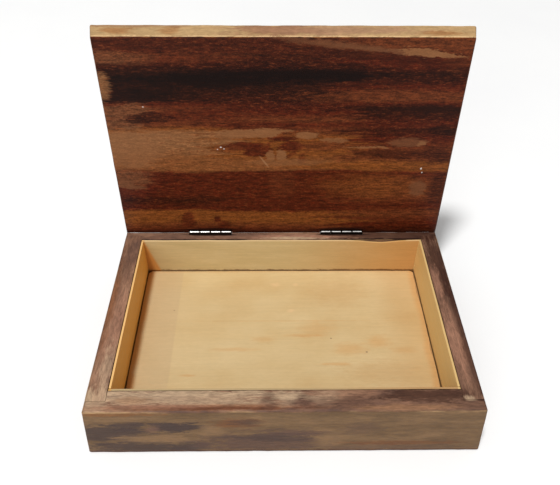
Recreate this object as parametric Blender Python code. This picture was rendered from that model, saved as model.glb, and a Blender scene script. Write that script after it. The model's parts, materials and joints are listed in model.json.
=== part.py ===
"""A hinged wooden money box, with its lid standing open on its stop. Metres, +Z up.

The origin is the centre of the underside. The front faces -Y and the hinges are along the back, at +Y.
The lid and its hinge leaves are modelled closed, around an empty on the hinge axis that turns them open.
"""

import math

import bmesh
import bpy

MM = 0.001
GAP = 0.3 * MM  # clearance between pieces that touch on the real box

# Box body: it spreads a little from the rim to the base, except at its upright back.
BASE_WIDTH = 226.2 * MM
BASE_DEPTH = 153.5 * MM
BODY_HEIGHT = 37.2 * MM
SIDE_SPLAY = 2.0 * MM
EDGE_ROUND = 1.1 * MM
ROUND_STEPS = 5

# Inside faces of the four rails.
INNER_HALF_WIDTH = 99.4 * MM
INNER_FRONT = -60.6 * MM
INNER_BACK = 67.75 * MM
FRONT_LAP = -67.5 * MM  # the side rails are let into the front rail as far as this
BACK_LAP = 72.0 * MM

BOTTOM_THICKNESS = 6.0 * MM
BOTTOM_LEDGE = 5.0 * MM  # how far the bottom panel reaches under the rails
LINER_THICKNESS = 1.3 * MM
FLOOR_THICKNESS = 2.0 * MM
FLOOR_GAP = 0.5 * MM
FLOOR_CORNER = 3.5 * MM
FLOOR_CORNER_STEPS = 5

# Lid.
LID_HALF_WIDTH = 112.9 * MM
LID_FRONT = -73.0 * MM
LID_THICKNESS = 10.5 * MM
LID_SIDE_SPLAY = 1.8 * MM  # how much smaller its inner face is, each side
LID_FRONT_SPLAY = 3.0 * MM
LID_GAP = 0.4 * MM  # between the rim and the closed lid
OPEN_ANGLE = math.radians(91.0)

# Hinges.
HINGE_CENTRES = {"left": -51.0 * MM, "right": 43.0 * MM}
HINGE_LENGTH = 30.0 * MM
AXIS_INSET = 1.5 * MM  # from the back of the box
KNUCKLES = 4
BARREL_RADIUS = 1.6 * MM
LEAF_THICKNESS = 0.7 * MM
LEAF_START = 1.9 * MM  # from the axis to the edge of the flat of the leaf
LEAF_END = 9.0 * MM
CURL_END = math.radians(295.0)
CURL_STEPS = 20
POCKET_RADIUS = 2.0 * MM
PIN_RADIUS = 0.7 * MM
PIN_OVERHANG = 0.15 * MM
ROUND_SIDES = 20

# Fasteners.
SCREW_OFFSETS = (-9.5 * MM, 9.5 * MM)
SCREW_FROM_AXIS = 5.5 * MM
SCREW_HEAD_RADIUS = 1.9 * MM
SCREW_SHANK_RADIUS = 0.9 * MM
SCREW_LENGTH = 7.5 * MM
SCREW_TIP = 1.8 * MM
SCREW_SIDES = 16
SLOT_WIDTH = 0.5 * MM
SLOT_DEPTH = 0.35 * MM
BRAD_RADIUS = 0.6 * MM
BRAD_HEAD_RADIUS = 1.0 * MM
BRAD_HEAD_HEIGHT = 0.4 * MM
BRAD_LENGTH = 14.0 * MM
BRAD_TIP = 1.5 * MM
BRAD_SIDES = 10
BRAD_ROWS = (-70.0 * MM, 0.0, 70.0 * MM)

BASE_HALF_WIDTH = BASE_WIDTH / 2
FRONT_BASE = -BASE_DEPTH / 2
BACK = BASE_DEPTH / 2
TOP_HALF_WIDTH = BASE_HALF_WIDTH - SIDE_SPLAY
FRONT_TOP = FRONT_BASE + SIDE_SPLAY
AXIS_Y = BACK - AXIS_INSET
AXIS_Z = BODY_HEIGHT + LID_GAP / 2
FLOOR_BOTTOM = BOTTOM_THICKNESS + GAP
FAR = 20.0 * MM  # how far a cutter runs past the wood

SHARP_ANGLE = math.radians(40.0)  # edges that turn more than this stay sharp

# Plain finishes, as (colour, roughness, metallic).
STEEL_COLOUR = (0.62, 0.62, 0.6)
STAINED_WOOD = ((0.13, 0.055, 0.028), 0.4, 0.0)
RIM_WOOD = ((0.2, 0.115, 0.07), 0.5, 0.0)
PALE_WOOD = ((0.62, 0.42, 0.2), 0.5, 0.0)
BOTTOM_WOOD = ((0.5, 0.34, 0.18), 0.5, 0.0)
HINGE_STEEL = (STEEL_COLOUR, 0.3, 1.0)
SCREW_STEEL = (STEEL_COLOUR, 0.35, 1.0)
BRAD_STEEL = (STEEL_COLOUR, 0.4, 1.0)


def clear_scene():
    for obj in list(bpy.data.objects):
        bpy.data.objects.remove(obj, do_unlink=True)


def material_for(name, finish):
    colour, roughness, metallic = finish
    material = bpy.data.materials.new(name)
    material.use_nodes = True
    shader = material.node_tree.nodes["Principled BSDF"]
    shader.inputs["Base Color"].default_value = (*colour, 1.0)
    shader.inputs["Roughness"].default_value = roughness
    shader.inputs["Metallic"].default_value = metallic
    return material


def object_from(name, bm, parent=None):
    bmesh.ops.recalc_face_normals(bm, faces=bm.faces)
    mesh = bpy.data.meshes.new(name)
    bm.to_mesh(mesh)
    bm.free()
    obj = bpy.data.objects.new(name, mesh)
    bpy.context.scene.collection.objects.link(obj)
    obj.parent = parent
    return obj


def piece(name, bm, finish, parent=None):
    obj = object_from(name, bm, parent)
    obj.data.materials.append(material_for(name, finish))
    return obj


def cutter(name, bm, parent=None):
    obj = object_from(name, bm, parent)
    obj.hide_render = True
    obj.display_type = "WIRE"
    return obj


def combine(obj, other, operation="DIFFERENCE"):
    modifier = obj.modifiers.new(other.name, "BOOLEAN")
    modifier.operation = operation
    modifier.object = other


def smooth(obj):
    obj.data.shade_smooth()
    obj.data.set_sharp_from_angle(angle=SHARP_ANGLE)


def block(low, high):
    """A box between two corners."""
    return tapered((low[:2], high[:2]), (low[:2], high[:2]), low[2], high[2])


def tapered(bottom, top, low_z, high_z):
    """A six-sided solid between two rectangles, each given by its two corners in plan."""
    bm = bmesh.new()
    rings = []
    for (low, high), z in ((bottom, low_z), (top, high_z)):
        corners = ((low[0], low[1]), (high[0], low[1]), (high[0], high[1]), (low[0], high[1]))
        rings.append([bm.verts.new((x, y, z)) for x, y in corners])
    bm.faces.new(rings[0])
    bm.faces.new(rings[1])
    for i in range(4):
        j = (i + 1) % 4
        bm.faces.new((rings[0][i], rings[0][j], rings[1][j], rings[1][i]))
    return bm


def prism(outline, low, high, axis="Z"):
    """An outline extruded along Z, or an outline of (y, z) points extruded along X."""
    bm = bmesh.new()
    if axis == "Z":
        verts = [bm.verts.new((x, y, low)) for x, y in outline]
        step = (0.0, 0.0, high - low)
    else:
        verts = [bm.verts.new((low, y, z)) for y, z in outline]
        step = (high - low, 0.0, 0.0)
    face = bm.faces.new(verts)
    extruded = bmesh.ops.extrude_face_region(bm, geom=[face])
    moved = [item for item in extruded["geom"] if isinstance(item, bmesh.types.BMVert)]
    bmesh.ops.translate(bm, verts=moved, vec=step)
    return bm


def turned(profile, sides, base, direction):
    """A profile of (radius, distance) points turned around a line from base along +-Y or +-Z."""
    bm = bmesh.new()
    rings = []
    for radius, distance in profile:
        ring = []
        for i in range(1 if radius == 0 else sides):
            angle = 2 * math.pi * i / sides
            across, up = radius * math.cos(angle), radius * math.sin(angle)
            if direction[0] == "Z":
                offset = (across, up, distance * direction[1])
            else:
                offset = (across, distance * direction[1], up)
            ring.append(bm.verts.new([b + o for b, o in zip(base, offset)]))
        rings.append(ring)
    for lower, upper in zip(rings, rings[1:]):
        for i in range(sides):
            j = (i + 1) % sides
            corners = [lower[i % len(lower)], lower[j % len(lower)], upper[j % len(upper)], upper[i % len(upper)]]
            bm.faces.new(list(dict.fromkeys(corners)))
    for ring in (rings[0], rings[-1]):
        if len(ring) > 2:
            bm.faces.new(ring)
    return bm


def arc(radius, start, end, steps):
    angles = [start + (end - start) * i / steps for i in range(steps + 1)]
    return [(radius * math.cos(angle), radius * math.sin(angle)) for angle in angles]


def round_edges(bm, keeps_sharp):
    """Rounds every edge of a solid, except those whose middle keeps_sharp accepts."""
    edges = [edge for edge in bm.edges if not keeps_sharp((edge.verts[0].co + edge.verts[1].co) / 2)]
    bmesh.ops.bevel(
        bm, geom=edges, offset=EDGE_ROUND, segments=ROUND_STEPS, profile=0.5, affect="EDGES", clamp_overlap=True
    )


def body_form():
    """The outside of the whole body, which trims the rails. Its top back edge stays sharp for the lid stop."""
    bm = tapered(
        ((-BASE_HALF_WIDTH, FRONT_BASE), (BASE_HALF_WIDTH, BACK)),
        ((-TOP_HALF_WIDTH, FRONT_TOP), (TOP_HALF_WIDTH, BACK)),
        0.0,
        BODY_HEIGHT,
    )
    edge_z, edge_y = BODY_HEIGHT - EDGE_ROUND, BACK - EDGE_ROUND
    round_edges(bm, lambda middle: middle.z > edge_z and middle.y > edge_y)
    bmesh.ops.triangulate(bm, faces=bm.faces)
    return cutter("body_form", bm)


def bottom_ledge():
    """The rebate around the underside that takes the bottom panel."""
    low = (-INNER_HALF_WIDTH - BOTTOM_LEDGE, INNER_FRONT - BOTTOM_LEDGE, -FAR)
    high = (INNER_HALF_WIDTH + BOTTOM_LEDGE, INNER_BACK + BOTTOM_LEDGE, FLOOR_BOTTOM)
    return cutter("bottom_ledge", block(low, high))


def stop_chamfer(name, side, parent=None):
    """The chamfer along the back, on the rail (side -1) or on the lid (side +1). The two meet to stop the lid."""
    slope = math.tan(OPEN_ANGLE / 2)
    start = side * LID_GAP / 2
    outline = [(0.0, start), (FAR, start + side * FAR * slope), (FAR, -side * FAR), (0.0, -side * FAR)]
    shift_y, shift_z = (0.0, 0.0) if parent else (AXIS_Y, AXIS_Z)
    outline = [(y + shift_y, z + shift_z) for y, z in outline]
    return cutter(name, prism(outline, -BASE_WIDTH, BASE_WIDTH, axis="X"), parent)


def long_rail(name, outer, lap, inner, ledge):
    """A front or back rail: its outer part runs the full width, and its inner part fits between the side rails."""
    shoulder = INNER_HALF_WIDTH - GAP
    outline = [
        (-BASE_WIDTH, outer),
        (BASE_WIDTH, outer),
        (BASE_WIDTH, lap),
        (shoulder, lap),
        (shoulder, inner),
        (-shoulder, inner),
        (-shoulder, lap),
        (-BASE_WIDTH, lap),
    ]
    obj = piece(name, prism(outline, -FAR, BODY_HEIGHT + FAR), RIM_WOOD)
    combine(obj, ledge)
    return obj


def side_rail(name, side, ledge):
    edges = sorted((side * INNER_HALF_WIDTH, side * BASE_WIDTH))
    low = (edges[0], FRONT_LAP + GAP, -FAR)
    high = (edges[1], BACK_LAP - GAP, BODY_HEIGHT + FAR)
    obj = piece(name, block(low, high), RIM_WOOD)
    combine(obj, ledge)
    return obj


def rails():
    """The four rails, still square outside. trim_rails shapes them together once their holes are cut."""
    ledge = bottom_ledge()
    made = {
        "front": long_rail("front_rail", FRONT_BASE - FAR, FRONT_LAP, INNER_FRONT, ledge),
        "back": long_rail("back_rail", BACK + FAR, BACK_LAP, INNER_BACK, ledge),
        "left": side_rail("left_rail", -1, ledge),
        "right": side_rail("right_rail", 1, ledge),
    }
    combine(made["back"], stop_chamfer("rail_chamfer", -1))
    return made


def trim_rails(made):
    form = body_form()
    for obj in made.values():
        combine(obj, form, "INTERSECT")
        smooth(obj)


def bottom():
    reach = BOTTOM_LEDGE - GAP
    low = (-INNER_HALF_WIDTH - reach, INNER_FRONT - reach, 0.0)
    high = (INNER_HALF_WIDTH + reach, INNER_BACK + reach, BOTTOM_THICKNESS)
    return piece("bottom_panel", block(low, high), BOTTOM_WOOD)


def liners():
    """Four thin strips against the rails. The long two run the full width, and the short two stand between them."""
    x_out = INNER_HALF_WIDTH - GAP
    front_out, back_out = INNER_FRONT + GAP, INNER_BACK - GAP
    front_in, back_in = front_out + LINER_THICKNESS, back_out - LINER_THICKNESS
    x_in = x_out - LINER_THICKNESS
    spans = {
        "liner_front": ((-x_out, front_out), (x_out, front_in)),
        "liner_back": ((-x_out, back_in), (x_out, back_out)),
        "liner_left": ((-x_out, front_in + GAP), (-x_in, back_in - GAP)),
        "liner_right": ((x_in, front_in + GAP), (x_out, back_in - GAP)),
    }
    for name, (low, high) in spans.items():
        piece(name, block((*low, FLOOR_BOTTOM), (*high, BODY_HEIGHT)), PALE_WOOD)


def floor():
    """The floor panel, with rounded corners and a thin gap to the liners."""
    inset = GAP + LINER_THICKNESS + FLOOR_GAP + FLOOR_CORNER
    x = INNER_HALF_WIDTH - inset
    front, back = INNER_FRONT + inset, INNER_BACK - inset
    quarter = math.pi / 2
    outline = []
    for i, (centre_x, centre_y) in enumerate(((x, back), (-x, back), (-x, front), (x, front))):
        turn = arc(FLOOR_CORNER, i * quarter, (i + 1) * quarter, FLOOR_CORNER_STEPS)
        outline += [(centre_x + dx, centre_y + dy) for dx, dy in turn]
    piece("floor_liner", prism(outline, FLOOR_BOTTOM, FLOOR_BOTTOM + FLOOR_THICKNESS), PALE_WOOD)


def lid_panel(axis):
    """The lid, closed, in the frame of the hinge axis. Its inner back edge stays sharp for the lid stop."""
    front, back = LID_FRONT - AXIS_Y, AXIS_INSET
    inner, outer = LID_GAP / 2, LID_GAP / 2 + LID_THICKNESS
    small = LID_HALF_WIDTH - LID_SIDE_SPLAY
    bm = tapered(
        ((-small, front + LID_FRONT_SPLAY), (small, back)),
        ((-LID_HALF_WIDTH, front), (LID_HALF_WIDTH, back)),
        inner,
        outer,
    )
    edge_z, edge_y = inner + EDGE_ROUND, back - EDGE_ROUND
    round_edges(bm, lambda middle: middle.z < edge_z and middle.y > edge_y)
    obj = piece("lid_panel", bm, STAINED_WOOD, axis)
    combine(obj, stop_chamfer("lid_chamfer", 1, axis))
    smooth(obj)
    return obj


def leaf_outline(side):
    """The rolled end of a leaf as (y, z) around the axis: up the flat, round the pin and back inside."""
    inner = BARREL_RADIUS - LEAF_THICKNESS
    outline = [(inner, -LEAF_START - GAP), (BARREL_RADIUS, -LEAF_START - GAP)]
    outline += arc(BARREL_RADIUS, 0.0, CURL_END, CURL_STEPS)
    outline += arc(inner, CURL_END, 0.0, CURL_STEPS)
    return [(y, -side * z) for y, z in outline]


def pocket_outline(side):
    """The recess for a leaf and its barrel in the wood, as (y, z) around the axis."""
    floor_y = BARREL_RADIUS - LEAF_THICKNESS - GAP
    past = BARREL_RADIUS + FAR
    turn_end = 2 * math.pi - math.acos(floor_y / POCKET_RADIUS)
    outline = [(past, -LEAF_END - GAP), (past, 0.0)]
    outline += arc(POCKET_RADIUS, 0.0, turn_end, CURL_STEPS)
    outline += [(floor_y, -LEAF_END - GAP)]
    return [(y, -side * z) for y, z in outline]


def screw_profile(grow=0.0):
    """A countersunk head and a plain shank, as (radius, distance) from the face of the head."""
    head, shank = SCREW_HEAD_RADIUS + grow, SCREW_SHANK_RADIUS + grow
    tip = SCREW_LENGTH + grow
    return [(head, 0.0), (shank, LEAF_THICKNESS), (shank, tip - SCREW_TIP), (0.0, tip)]


def screw_hole_profile():
    """The hole for a screw, which starts clear of the surface."""
    profile = screw_profile(GAP)
    return [(profile[0][0], -FAR), *profile]


def leaf(name, centre, side, parent):
    """A hinge leaf: side -1 hangs down the rail, side +1 goes up the lid. The knuckles of the two take turns."""
    low, high = centre - HINGE_LENGTH / 2, centre + HINGE_LENGTH / 2
    inner = BARREL_RADIUS - LEAF_THICKNESS
    edges = sorted((side * LEAF_START, side * LEAF_END))
    plate = block((low, inner, edges[0]), (high, BARREL_RADIUS, edges[1]))
    obj = piece(name, plate, HINGE_STEEL, parent)
    pitch = HINGE_LENGTH / KNUCKLES
    for i in range(KNUCKLES):
        if (i % 2 == 0) != (side < 0):
            continue
        start = low + i * pitch + (GAP / 2 if i else 0.0)
        end = low + (i + 1) * pitch - (GAP / 2 if i < KNUCKLES - 1 else 0.0)
        knuckle = cutter(f"{name}_knuckle_{i}", prism(leaf_outline(side), start, end, axis="X"), parent)
        combine(obj, knuckle, "UNION")
    smooth(obj)
    return obj


def screw(name, centre, side, parent):
    """A slotted screw through a leaf. Its head lies flush with the outside of the leaf."""
    base = (centre, BARREL_RADIUS, side * SCREW_FROM_AXIS)
    obj = piece(name, turned(screw_profile(), SCREW_SIDES, base, ("Y", -1)), SCREW_STEEL, parent)
    reach = SCREW_HEAD_RADIUS + GAP
    slot = block(
        (centre - reach, BARREL_RADIUS - SLOT_DEPTH, base[2] - SLOT_WIDTH / 2),
        (centre + reach, BARREL_RADIUS + FAR, base[2] + SLOT_WIDTH / 2),
    )
    combine(obj, cutter(f"{name}_slot", slot, parent))
    smooth(obj)
    return cutter(f"{name}_hole", turned(screw_hole_profile(), SCREW_SIDES, base, ("Y", -1)), parent)


def hinge(where, centre, rail, lid, box_axis, lid_axis):
    half = HINGE_LENGTH / 2
    for side, word, wood, axis in ((-1, "box", rail, box_axis), (1, "lid", lid, lid_axis)):
        name = f"hinge_{where}_{word}"
        plate = leaf(f"{name}_leaf", centre, side, axis)
        pocket = prism(pocket_outline(side), centre - half - GAP, centre + half + GAP, axis="X")
        combine(wood, cutter(f"{name}_pocket", pocket, axis))
        for i, offset in enumerate(SCREW_OFFSETS, start=1):
            hole = screw(f"{name}_screw_{i}", centre + offset, side, axis)
            combine(plate, hole)
            combine(wood, hole)
    pin_end = half + PIN_OVERHANG
    pin = prism(arc(PIN_RADIUS, 0.0, 2 * math.pi, ROUND_SIDES)[:-1], centre - pin_end, centre + pin_end, axis="X")
    smooth(piece(f"hinge_{where}_pin", pin, HINGE_STEEL, box_axis))


def brad_profile(grow=0.0):
    """A flat head and a straight pointed shank, as (radius, distance) from the face of the head."""
    head, shank, length = BRAD_HEAD_RADIUS + grow, BRAD_RADIUS + grow, BRAD_LENGTH + grow
    return [
        (head, 0.0),
        (head, BRAD_HEAD_HEIGHT + grow),
        (shank, BRAD_HEAD_HEIGHT + grow),
        (shank, length - BRAD_TIP),
        (0.0, length),
    ]


def brads(panel, made):
    """The nails that hold the bottom panel: three along the front and back, and one at each side."""
    inset = BOTTOM_LEDGE / 2
    front, back = INNER_FRONT - inset, INNER_BACK + inset
    side_x = INNER_HALF_WIDTH + inset
    places = [(x, front, "front") for x in BRAD_ROWS] + [(x, back, "back") for x in BRAD_ROWS]
    places += [(-side_x, 0.0, "left"), (side_x, 0.0, "right")]
    for i, (x, y, rail) in enumerate(places, start=1):
        base = (x, y, 0.0)
        nail = piece(f"bottom_brad_{i}", turned(brad_profile(), BRAD_SIDES, base, ("Z", 1)), BRAD_STEEL)
        smooth(nail)
        hole_profile = brad_profile(GAP)
        hole_profile.insert(0, (hole_profile[0][0], -FAR))
        hole = cutter(f"bottom_brad_{i}_hole", turned(hole_profile, BRAD_SIDES, base, ("Z", 1)))
        combine(panel, hole)
        combine(made[rail], hole)


def hinge_axis(name, angle):
    empty = bpy.data.objects.new(name, None)
    empty.location = (0.0, AXIS_Y, AXIS_Z)
    empty.rotation_euler = (angle, 0.0, 0.0)
    bpy.context.scene.collection.objects.link(empty)
    return empty


def main():
    clear_scene()
    made = rails()
    panel = bottom()
    liners()
    floor()
    box_axis, lid_axis = hinge_axis("box_axis", 0.0), hinge_axis("lid_axis", -OPEN_ANGLE)
    lid = lid_panel(lid_axis)
    for where, centre in HINGE_CENTRES.items():
        hinge(where, centre, made["back"], lid, box_axis, lid_axis)
    brads(panel, made)
    trim_rails(made)


main()
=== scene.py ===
import json
import math

import bmesh
import bpy
from mathutils import Matrix, Vector, noise


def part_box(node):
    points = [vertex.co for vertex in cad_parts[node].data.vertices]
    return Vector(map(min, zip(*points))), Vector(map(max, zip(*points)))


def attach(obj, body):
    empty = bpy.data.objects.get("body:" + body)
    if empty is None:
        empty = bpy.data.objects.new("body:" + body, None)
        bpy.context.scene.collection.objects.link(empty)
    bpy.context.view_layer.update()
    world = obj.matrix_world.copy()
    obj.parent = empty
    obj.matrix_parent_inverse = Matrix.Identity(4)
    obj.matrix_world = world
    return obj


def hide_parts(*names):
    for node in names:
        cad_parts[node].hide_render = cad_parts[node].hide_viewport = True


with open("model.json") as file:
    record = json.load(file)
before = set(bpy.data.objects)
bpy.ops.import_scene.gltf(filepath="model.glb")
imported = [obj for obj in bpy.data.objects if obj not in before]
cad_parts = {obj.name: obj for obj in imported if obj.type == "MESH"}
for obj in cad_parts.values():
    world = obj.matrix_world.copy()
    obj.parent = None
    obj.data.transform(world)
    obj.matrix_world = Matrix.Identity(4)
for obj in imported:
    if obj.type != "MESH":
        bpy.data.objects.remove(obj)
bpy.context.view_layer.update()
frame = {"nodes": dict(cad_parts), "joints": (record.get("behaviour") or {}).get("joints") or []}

MM = 0.001

# Places read from the frame, in millimetres.
HINGE = next(joint for joint in frame["joints"] if joint["name"] == "lid_hinge")
AXIS_Y, AXIS_Z = (value / MM for value in HINGE["pos_m"][1:])
OPEN_ANGLE = math.radians(HINGE["range_deg"][1])
HALF_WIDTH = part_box("front_rail")[1].x / MM
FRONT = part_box("front_rail")[0].y / MM
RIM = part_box("front_rail")[1].z / MM
FLOOR_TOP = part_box("floor_liner")[1].z / MM
FLOOR_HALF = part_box("floor_liner")[1].x / MM
FLOOR_FRONT, FLOOR_BACK = (corner.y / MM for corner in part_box("floor_liner"))
LINER_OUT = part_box("liner_back")[1].x / MM
LAP_FRONT, LAP_BACK = (corner.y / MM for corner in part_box("left_rail"))
LID_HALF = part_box("lid_panel")[1].x / MM
PIN_BOXES = [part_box(f"hinge_{side}_pin") for side in ("left", "right")]
HINGE_PLACES = [(low.x + high.x) / (2 * MM) for low, high in PIN_BOXES]

# Sizes that the boxes of the solids don't give, in millimetres.
LID_REACH = 145.25  # from the hinge axis to the free edge of the lid's inner face
LID_INNER = 0.2  # from the plane of the hinge axis out to the lid's inner face
LID_THICKNESS = 10.5
LID_SIDE_SPLAY = 1.8  # how much smaller its inner face is, each side
KNUCKLE = 7.5  # the length of one
BARREL_RADIUS = 1.6

# Mesh work, in millimetres.
SEAM = 0.27  # closes a glued seam to a hairline
STOP_FILL = 0.13  # nearly closes the gap at the stop, once from each side
MERGE = 0.001
SAME_PLACE = 0.03
SHARP_ANGLE = math.radians(38.0)
FLAT_ANGLE = math.radians(4.0)  # a point where faces turn less than this is on a flat face
COPLANAR_ANGLE = math.radians(0.2)
ROUGH_SCALE, FINE_SCALE = 0.09, 0.4  # waves of wear in a millimetre
WORN_MEAN, ROUGH_SHARE, FINE_SHARE = 0.45, 0.6, 0.5
DIP_DEPTH, DIP_PLACE, DIP_REACH = 1.9, 70.0, 12.0  # the worn dip in the back liner's top edge
LINER_TAPER, LINER_TAPER_HEIGHT = 0.8, 5.0  # how much thinner the liners get, over their top part
FLOOR_WANDER = 4.0  # how far in from its edges the floor is pulled about
METAL_EDGE = 0.07

# Camera.
CAMERA_PLACE = (-8.1, -275.6, 337.7)  # in millimetres
CAMERA_TURN, CAMERA_TILT, CAMERA_ROLL = (math.radians(angle) for angle in (-1.15, 48.54, 0.64))
CAMERA_LENS = 41.27
SENSOR_WIDTH = 36.0

# Lights: place, size and power. The world glows more to the camera than it lights the box.
LIGHTS = {
    "key": ((-0.9, -1.4, 4.85), 0.7, 200.0),
    "fill": ((-1.2, -3.6, 1.8), 2.4, 40.0),
}
LIT_PLACE = (0.0, 0.0, 0.04)
WORLD_LIGHT, WORLD_SEEN = 0.4, 0.6
GROUND_SIZE = 3.0
GROUND_DROP = 0.05  # in millimetres, to keep it off the plane of the box's underside


# ---------------------------------------------------------------- colours


def colour(red, green, blue):
    """A colour given as 0-255 screen values, as linear RGBA."""
    values = [c / 255 for c in (red, green, blue)]
    return (*[c / 12.92 if c <= 0.04045 else ((c + 0.055) / 1.055) ** 2.4 for c in values], 1.0)


# Stained and worn wood, from dark to light.
BLACK_BROWN = colour(30, 12, 8)
UMBER = colour(50, 22, 11)
SIENNA = colour(78, 33, 14)
CHESTNUT = colour(96, 52, 25)
RUSSET = colour(118, 68, 33)
HONEY = colour(140, 84, 38)
FAWN = colour(144, 104, 73)
TAN = colour(166, 128, 92)
SAND = colour(186, 152, 108)

# Greyer and pinker wood, of the rails and the lid's outer face.
SLATE = colour(72, 55, 50)
SMOKE = colour(84, 58, 46)
PLUM = colour(96, 70, 58)
ROSE = colour(150, 108, 86)
DRIFT = colour(174, 147, 118)
DRY_TAN = colour(137, 105, 73)
TOP_BROWN = colour(122, 88, 68)
TOP_LIGHT = colour(142, 106, 82)
FRONT_DARK = colour(104, 78, 52)
FRONT_BROWN = colour(119, 91, 62)
SIDE_BROWN = colour(118, 88, 68)

# Pale wood, mostly of the liners and the floor.
CREAM = colour(222, 186, 138)
STRAW = colour(190, 152, 100)
AMBER = colour(196, 134, 64)
BURNT = colour(85, 40, 8)
PALE_EDGE = colour(150, 122, 92)
LINER_TONES = ((0.25, colour(192, 168, 118)), (0.5, colour(200, 175, 125)), (0.75, colour(206, 182, 134)))
# The side strips: the left one painted bright orange for warm bounce light in its shade, the right one
# painted lighter for the light on it.
LEFT_LINER_BOUNCE = colour(240, 176, 80)
RIGHT_LINER_LIT = colour(230, 194, 126)
# Painted shadow of the left strip on the back liner's left end.
CORNER_SHADOW_ORANGE = colour(206, 136, 58)
FLOOR_TONES = ((0.28, colour(197, 166, 116)), (0.5, colour(203, 176, 128)), (0.75, colour(209, 184, 138)))
FLOOR_LEFT = colour(192, 164, 124)
# Painted warm shade on the floor by the side walls.
SIDE_SHADE_ORANGE = colour(200, 132, 56)
SPOT_ORANGE = colour(198, 142, 78)

# The lid's inner face, its bare free edge and its chips.
LID_PALE = colour(138, 99, 67)
LID_TAWNY = colour(129, 84, 50)
LID_AMBER = colour(124, 76, 37)
LID_DRAB = colour(114, 75, 50)
LID_RUST = colour(104, 58, 33)
LID_RED = colour(85, 35, 17)
LID_COCOA = colour(75, 34, 18)
LID_DARK = colour(60, 25, 12)
LENS_TAN = colour(146, 104, 71)
LENS_DULL = colour(124, 84, 58)
BARE_EDGE = colour(172, 140, 98)
WHITE = (0.9, 0.88, 0.85, 1.0)

# Metal and the ground.
SILVER = (0.82, 0.81, 0.78, 1.0)
DULL_STEEL = (0.5, 0.48, 0.45, 1.0)
NAIL_DARK = (0.3, 0.27, 0.25, 1.0)
# Painted shade for the hinge barrels.
BARREL_SHADE_DARK = (0.02, 0.015, 0.012, 1.0)
GROUND_GREY = (0.86, 0.86, 0.86, 1.0)
GROUND_PALE = (0.9, 0.9, 0.89, 1.0)


# ---------------------------------------------------------------- shader building


class Shader:
    """A short way to write a node tree. Arguments may be sockets, numbers or colours."""

    def __init__(self, tree):
        self.tree = tree

    def put(self, socket, value):
        if isinstance(value, bpy.types.NodeSocket):
            self.tree.links.new(value, socket)
        elif value is not None:
            socket.default_value = value

    def node(self, kind, inputs=(), **settings):
        made = self.tree.nodes.new(kind)
        for key, value in settings.items():
            setattr(made, key, value)
        for key, value in dict(inputs).items():
            self.put(made.inputs[key], value)
        return made

    def math(self, operation, a, b=None):
        return self.node("ShaderNodeMath", {0: a, 1: b}, operation=operation).outputs[0]

    def add(self, *terms):
        total = terms[0]
        for term in terms[1:]:
            total = self.math("ADD", total, term)
        return total

    def minus(self, a, b):
        return self.math("SUBTRACT", a, b)

    def times(self, *factors):
        total = factors[0]
        for factor in factors[1:]:
            total = self.math("MULTIPLY", total, factor)
        return total

    def size(self, value):
        return self.math("ABSOLUTE", value)

    def distance(self, a, b):
        return self.math("SQRT", self.add(self.times(a, a), self.times(b, b)))

    def step(self, value, low, high, new_low=0.0, new_high=1.0):
        """Turns smoothly from new_low to new_high as value goes from low to high."""
        inputs = {"Value": value, "From Min": low, "From Max": high, "To Min": new_low, "To Max": new_high}
        return self.node("ShaderNodeMapRange", inputs, interpolation_type="SMOOTHSTEP").outputs[0]

    def mix(self, factor, a, b, blend="MIX"):
        made = self.node("ShaderNodeMix", data_type="RGBA", blend_type=blend)
        for index, value in ((0, factor), (6, a), (7, b)):
            self.put(made.inputs[index], value)
        return made.outputs[2]

    def shade(self, tint, brightness):
        """Multiplies a colour by a number."""
        grey = self.node("ShaderNodeCombineXYZ", {0: brightness, 1: brightness, 2: brightness}).outputs[0]
        return self.mix(1.0, tint, grey, "MULTIPLY")

    def vector(self, x, y, z):
        return self.node("ShaderNodeCombineXYZ", {0: x, 1: y, 2: z}).outputs[0]

    def noise(self, x, y, z, detail=3.0, roughness=0.55):
        """Noise at coordinates already scaled to one feature per unit."""
        inputs = {"Vector": self.vector(x, y, z), "Scale": 1.0, "Detail": detail, "Roughness": roughness}
        return self.node("ShaderNodeTexNoise", inputs).outputs["Fac"]

    def ramp(self, value, stops):
        made = self.node("ShaderNodeValToRGB", {"Fac": value})
        elements = made.color_ramp.elements
        while len(elements) < len(stops):
            elements.new(0.5)
        for element, (place, tint) in zip(elements, stops):
            element.position = place
            element.color = tint
        return made.outputs[0]

    def place(self):
        """The piece's own coordinates, in millimetres, as three sockets."""
        own = self.node("ShaderNodeTexCoord").outputs["Object"]
        scaled = self.node("ShaderNodeVectorMath", {0: own, 1: (1 / MM,) * 3}, operation="MULTIPLY")
        return self.node("ShaderNodeSeparateXYZ", {0: scaled.outputs[0]}).outputs[:3]


def new_material(name, metallic=0.0, specular=0.3):
    material = bpy.data.materials.new(name)
    material.use_nodes = True
    main = material.node_tree.nodes["Principled BSDF"]
    main.inputs["Metallic"].default_value = metallic
    main.inputs["Specular IOR Level"].default_value = specular
    return material, Shader(material.node_tree), main


def surface(s, main, tint, roughness, height, depth):
    """Plugs colour, roughness and a bump of this depth in millimetres into the shader."""
    s.put(main.inputs["Base Color"], tint)
    s.put(main.inputs["Roughness"], roughness)
    bump = s.node("ShaderNodeBump", {"Height": height, "Distance": depth * MM, "Strength": 1.0})
    s.put(main.inputs["Normal"], bump.outputs[0])


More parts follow.
